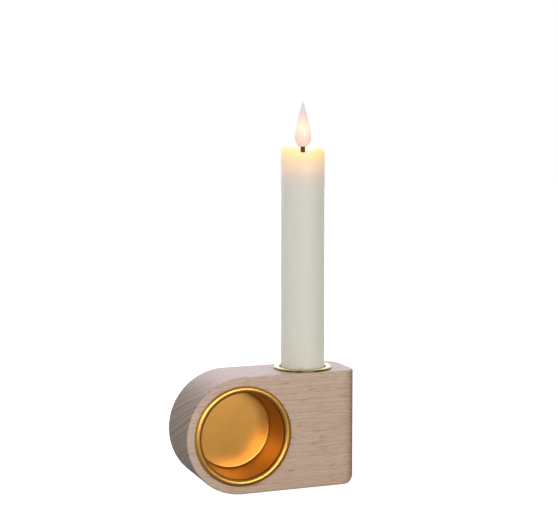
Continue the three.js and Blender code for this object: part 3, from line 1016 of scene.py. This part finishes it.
def board():
    """The board, with tinned pads under what is soldered to it."""
    place = Place("circuit_board")
    x, back, front = place.middle.x, place.high.y, place.low.y
    bottom, top = place.low.z, place.high.z
    piece("board_sheet", soft_box(place.low, place.high, 0.12), "circuit_board")

    def pad(kind, dx, z, face=front, side=-1):
        inner, outer = sorted((face, face + side * PAD_THICKNESS))
        low = (x + dx - kind["width"] / 2, inner, z - kind["height"] / 2)
        high = (x + dx + kind["width"] / 2, outer, z + kind["height"] / 2)
        return soft_box(low, high, 0.025, 2)

    lead_x, left_x = LEAD_PAD["off_axis"], -BUTTON_TAB["left"]
    pads = [pad(LEAD_PAD, dx, top - LEAD_PAD["below_top"]) for dx in (-lead_x, lead_x)]
    pads.append(pad(TAB_PAD, left_x, bottom + TAB_PAD["above_foot"]))
    pads.append(pad(STRIP_PAD, 0, bottom + STRIP_PAD["above_foot"], back, 1))
    pads += [pad(RESISTOR_PAD, left_x, top - drop) for drop in RESISTOR_PAD["below_top"]]
    piece("board_pads", gathered(*pads), "circuit_board", "steel")


def chip():
    """The timer chip, with a key mark at pin one and four gull-wing legs down each side."""
    place = Place("timer_chip")
    body = soft_box(place.low, place.high, 0.18)
    depth, rise, inset = KEY_MARK["depth"], KEY_MARK["rise"], KEY_MARK["inset"]
    dimple = [(0, -depth), (KEY_MARK["radius"], -depth), (KEY_MARK["mouth"], rise), (0, rise)]
    mark = facing_front(turned(dimple, 24))
    mark = moved(mark, place.low.x + inset, place.low.y, place.high.z - inset)
    piece("chip_body", cut(body, mark), "timer_chip")
    thickness, half_width = CHIP_LEG["thickness"], CHIP_LEG["width"] / 2
    foot = Place("circuit_board").low.y - thickness / 2
    bends = (
        (-CHIP_LEG["inset"], place.middle.y),
        (CHIP_LEG["shoulder"], place.middle.y),
        (CHIP_LEG["knee"], foot),
        (CHIP_LEG["reach"], foot),
    )
    legs = []
    for side in (-1, 1):
        edge = place.high.x if side > 0 else place.low.x
        for i in range(4):
            z = place.middle.z + (i - 1.5) * CHIP_LEG["pitch"]
            path = [(edge + side * out, y) for out, y in bends]
            leg = bent_strip(path, thickness, -half_width, half_width, CHIP_LEG["bend"])
            for vert in leg.verts:
                across, x, y = vert.co
                vert.co = (x, y, z + across)
            legs.append(outwards(leg))
    piece("chip_legs", gathered(*legs), "timer_chip", "steel")


def resistor():
    """A chip resistor, with a tinned cap over each end."""
    place = Place("lamp_resistor")
    inset = 0.06
    body_low = place.low + Vector((inset, inset, inset))
    body_high = place.high - Vector((inset, inset, inset))
    piece("resistor_body", soft_box(body_low, body_high, 0.05), "lamp_resistor")
    cap = 0.4
    ends = [
        soft_box(place.low, (place.high.x, place.high.y, place.low.z + cap), 0.06),
        soft_box((place.low.x, place.low.y, place.high.z - cap), place.high, 0.06),
    ]
    piece("resistor_ends", gathered(*ends), "lamp_resistor", "steel")


def capacitor():
    """A small can, crimped near its foot and rolled over at its top."""
    place = Place("board_capacitor")
    radius = place.size.x / 2
    height = place.size.z
    crimp_middle = CRIMP["above_foot"] + CRIMP["width"] / 2
    corners = [
        (0, 0),
        (radius - 0.2, 0),
        (radius, 0.15),
        (radius, CRIMP["above_foot"]),
        (radius - CRIMP["depth"], crimp_middle, 0.15),
        (radius, CRIMP["above_foot"] + CRIMP["width"]),
        (radius, height, 0.25),
        (radius - 0.35, height),
        (radius - 0.45, height - 0.12),
        (0, height - 0.12),
    ]
    shape = turned(rounded(corners, 0.06, closed=False), SMALL)
    piece("capacitor_can", moved(shape, place.middle.x, place.middle.y, place.low.z), "board_capacitor")


# ---- The twist cap ----


def twist_cap():
    """A flange with two finger notches and the switch's slot, a skirt, and two bayonet lugs."""
    place = Place("battery_cap")
    low = place.low.z
    high = low + CAP["flange"]
    skirt, wall, top = CAP["skirt"], CAP["skirt_wall"], high + CAP["skirt_height"]
    corners = [
        (0, low),
        (CAP["radius"], low, 0.5),
        (CAP["radius"], high, 0.2),
        (skirt, high, 0.2),
        (skirt, top, 0.2),
        (skirt - wall, top, 0.2),
        (skirt - wall, high, 0.3),
        (0, high),
    ]
    body = turned(rounded(corners, 0.2, closed=False))
    lug_low = high + LUG["up"]
    lug_high = lug_low + LUG["height"]
    lugs = opposite(0, LUG["half_angle"], skirt - wall / 2, LUG["radius"], lug_low, lug_high, 0.15)
    half_x = (SLIDER["travel"] + SLIDER["stem_x"]) / 2 + GAP
    half_y = SLIDER["stem_y"] / 2 + GAP
    slot = soft_box((-half_x, -half_y, low - 1), (half_x, half_y, high + 1), 0.2)
    inner, outer, notch_top = FINGER_NOTCH["inner"], FINGER_NOTCH["outer"], low + FINGER_NOTCH["depth"]
    notches = opposite(90, FINGER_NOTCH["half_angle"], inner, outer, low - 1, notch_top, 0.25)
    piece("twist_cap", on_candle(cut(joined(body, *lugs), slot, *notches)), "battery_cap")


def insulator_disc():
    place = Place("cap_insulator")
    shape = washer(0, place.size.x / 2, place.low.z, place.high.z, 0.15)
    piece("insulator_disc", on_candle(shape), "cap_insulator")


def contact_ring():
    place = Place("cap_contact_ring")
    shape = washer(CONTACT_RING["inner"], CONTACT_RING["outer"], place.low.z, place.high.z, 0.08)
    piece("contact_ring", on_candle(shape), "cap_contact_ring")


def coil_spring():
    """A conical coil whose turns close up towards its two ends."""
    place = Place("battery_spring")
    wire, turns, steps = SPRING["wire"], SPRING["turns"], 64
    path = []
    for i in range(turns * steps + 1):
        share = i / (turns * steps)
        radius = lerp(SPRING["bottom"], SPRING["top"], share)
        height = lerp(place.low.z + wire, place.high.z - wire, smoothstep(share))
        angle = 2 * pi * i / steps
        path.append((radius * cos(angle), radius * sin(angle), height))
    piece("coil_spring", on_candle(swept(path, wire)), "battery_spring")


def switch():
    """The switch's case, and its slider with a ribbed thumb face."""
    case = Place("switch_body")
    knob = Place("switch_slider")
    head_low = knob.high.z - SLIDER["head"]
    half_x = (SLIDER["travel"] + SLIDER["head_x"]) / 2 + GAP
    half_y = SLIDER["head_y"] / 2 + GAP
    middle = case.middle.x
    pocket = soft_box(
        (middle - half_x, -half_y, case.low.z - 1),
        (middle + half_x, half_y, knob.high.z + GAP),
        0.1,
    )
    piece("switch_case", cut(soft_box(case.low, case.high, 0.25), pocket), "switch_body")
    x = knob.middle.x
    head = soft_box((knob.low.x, knob.low.y, head_low), knob.high, 0.15)
    stem = soft_box(
        (x - SLIDER["stem_x"] / 2, -SLIDER["stem_y"] / 2, knob.low.z),
        (x + SLIDER["stem_x"] / 2, SLIDER["stem_y"] / 2, head_low + SLIDER["head"] / 2),
        0.12,
    )
    half, apart = KNOB_GROOVE["half_width"], KNOB_GROOVE["apart"]
    groove_top = knob.low.z + KNOB_GROOVE["depth"]
    grooves = [
        soft_box((x + dx - half, -1, knob.low.z - 0.5), (x + dx + half, 1, groove_top), 0.04, 2)
        for dx in (-apart, 0, apart)
    ]
    piece("switch_knob", cut(joined(head, stem), *grooves), "switch_slider")


beech_block()
gold_cup()
brass_socket()
wax_sleeve()
flame_shell()
lamp()
wick()
lamp_wires()
battery_tube()
tube_top()
cell_cradle()
cell("battery_lower")
cell("battery_upper")
return_contact()
button_contact()
board()
chip()
resistor()
capacitor()
twist_cap()
insulator_disc()
contact_ring()
coil_spring()
switch()

# ---- The studio ----

CAMERA_PLACE = (-237.6, -649.3, 185.5)  # millimetres
CAMERA_TURN = 20.78  # degrees to the right of straight along +Y
CAMERA_DIP = 5.656  # degrees below level
CAMERA_LENS = 88.14  # millimetres
SENSOR_WIDTH = 36  # millimetres

LIGHT_TARGET = (0, 0, 0.08)  # metres
# The world as a light is brightest in this direction, behind and above the object.
BRIGHT_SKY = (0.20, 0.90, 0.42)
SKY_STRENGTH = 1.85
FLOOR_HALF = 3.0  # metres
FLOOR_GRADING = (-0.1, 0.2)  # metres towards the left and the back, from its dark part to its pale part


def camera():
    data = bpy.data.cameras.new("camera")
    data.sensor_width = SENSOR_WIDTH
    data.lens = CAMERA_LENS
    made = link("camera", data)
    made.location = Vector(CAMERA_PLACE) * MM
    made.rotation_euler = (radians(90 - CAMERA_DIP), 0, radians(-CAMERA_TURN))
    scene.camera = made


def softbox(name, heading, height, size, power):
    """A soft light aimed at the object from a metre away. Heading 0 is in front and 90 to the right."""
    flat = cos(radians(height))
    towards = Vector((sin(radians(heading)) * flat, -cos(radians(heading)) * flat, sin(radians(height))))
    data = bpy.data.lights.new(name, "AREA")
    data.shape = "RECTANGLE"
    data.size, data.size_y = size
    data.energy = power
    made = link(name, data)
    made.location = Vector(LIGHT_TARGET) + towards
    made.rotation_euler = (-towards).to_track_quat("-Z", "Y").to_euler()
    made.visible_camera = False


def graded_sky(tree):
    """The world as a light: dim in front, and bright behind and overhead."""
    lean = add_node(tree, "VectorMath", operation="DOT_PRODUCT")
    lean.inputs[1].default_value = Vector(BRIGHT_SKY).normalized()
    tree.links.new(add_node(tree, "TexCoord").outputs["Generated"], lean.inputs[0])
    shift = add_node(tree, "MapRange")
    shift.inputs["From Min"].default_value = -1
    tree.links.new(lean.outputs["Value"], shift.inputs["Value"])
    level = add_node(tree, "ValToRGB")
    stops = level.color_ramp.elements
    stops[0].position, stops[0].color = 0.38, (0.03, 0.03, 0.03, 1)
    stops[1].position, stops[1].color = 0.95, (0.86, 0.92, 1.06, 1)
    stops.new(0.72).color = (0.36, 0.36, 0.39, 1)
    tree.links.new(shift.outputs["Result"], level.inputs["Fac"])
    light = add_node(tree, "Background")
    light.inputs["Strength"].default_value = SKY_STRENGTH
    tree.links.new(level.outputs["Color"], light.inputs["Color"])
    return light.outputs[0]


def surroundings():
    """A backdrop that is white to the camera, and a graded sky for everything else."""
    world = bpy.data.worlds.new("studio")
    world.use_nodes = True
    scene.world = world
    tree = world.node_tree
    tree.nodes.clear()
    backdrop = add_node(tree, "Background")
    backdrop.inputs["Color"].default_value = (1, 1, 1, 1)
    seen = add_node(tree, "LightPath").outputs["Is Camera Ray"]
    choice = add_node(tree, "MixShader")
    for i, source in enumerate((seen, graded_sky(tree), backdrop.outputs[0])):
        tree.links.new(source, choice.inputs[i])
    tree.links.new(choice.outputs[0], add_node(tree, "OutputWorld").inputs["Surface"])


def floor():
    """A table top, white to the camera. As light, dark in front and right, pale behind and left."""
    mesh = bpy.data.meshes.new("floor")
    half = FLOOR_HALF
    corners = [(-half, -half, 0), (half, -half, 0), (half, half, 0), (-half, half, 0)]
    mesh.from_pydata(corners, [], [(0, 1, 2, 3)])
    made = link("floor", mesh)
    f = Finish("floor", Roughness=0.9, Specular_IOR_Level=0.0)
    spot = f.coordinates.outputs["Object"]
    left_and_back = f.math("SUBTRACT", f.split(spot, "Y"), f.split(spot, "X"))
    away = f.span(left_and_back, *FLOOR_GRADING)
    f.wear(Base_Color=f.mix(away, (0.18, 0.18, 0.19), (0.72, 0.76, 0.84)))
    seen = f.add("LightPath", {}).outputs["Is Camera Ray"]
    f.wear(Emission_Color=(1, 1, 1), Emission_Strength=seen)
    mesh.materials.append(f.material)


camera()
softbox("softbox_front", heading=0, height=6, size=(0.9, 0.34), power=6.3)
softbox("softbox_left", heading=-55, height=20, size=(0.5, 0.6), power=1.5)
surroundings()
floor()
scene.view_settings.view_transform = "Standard"
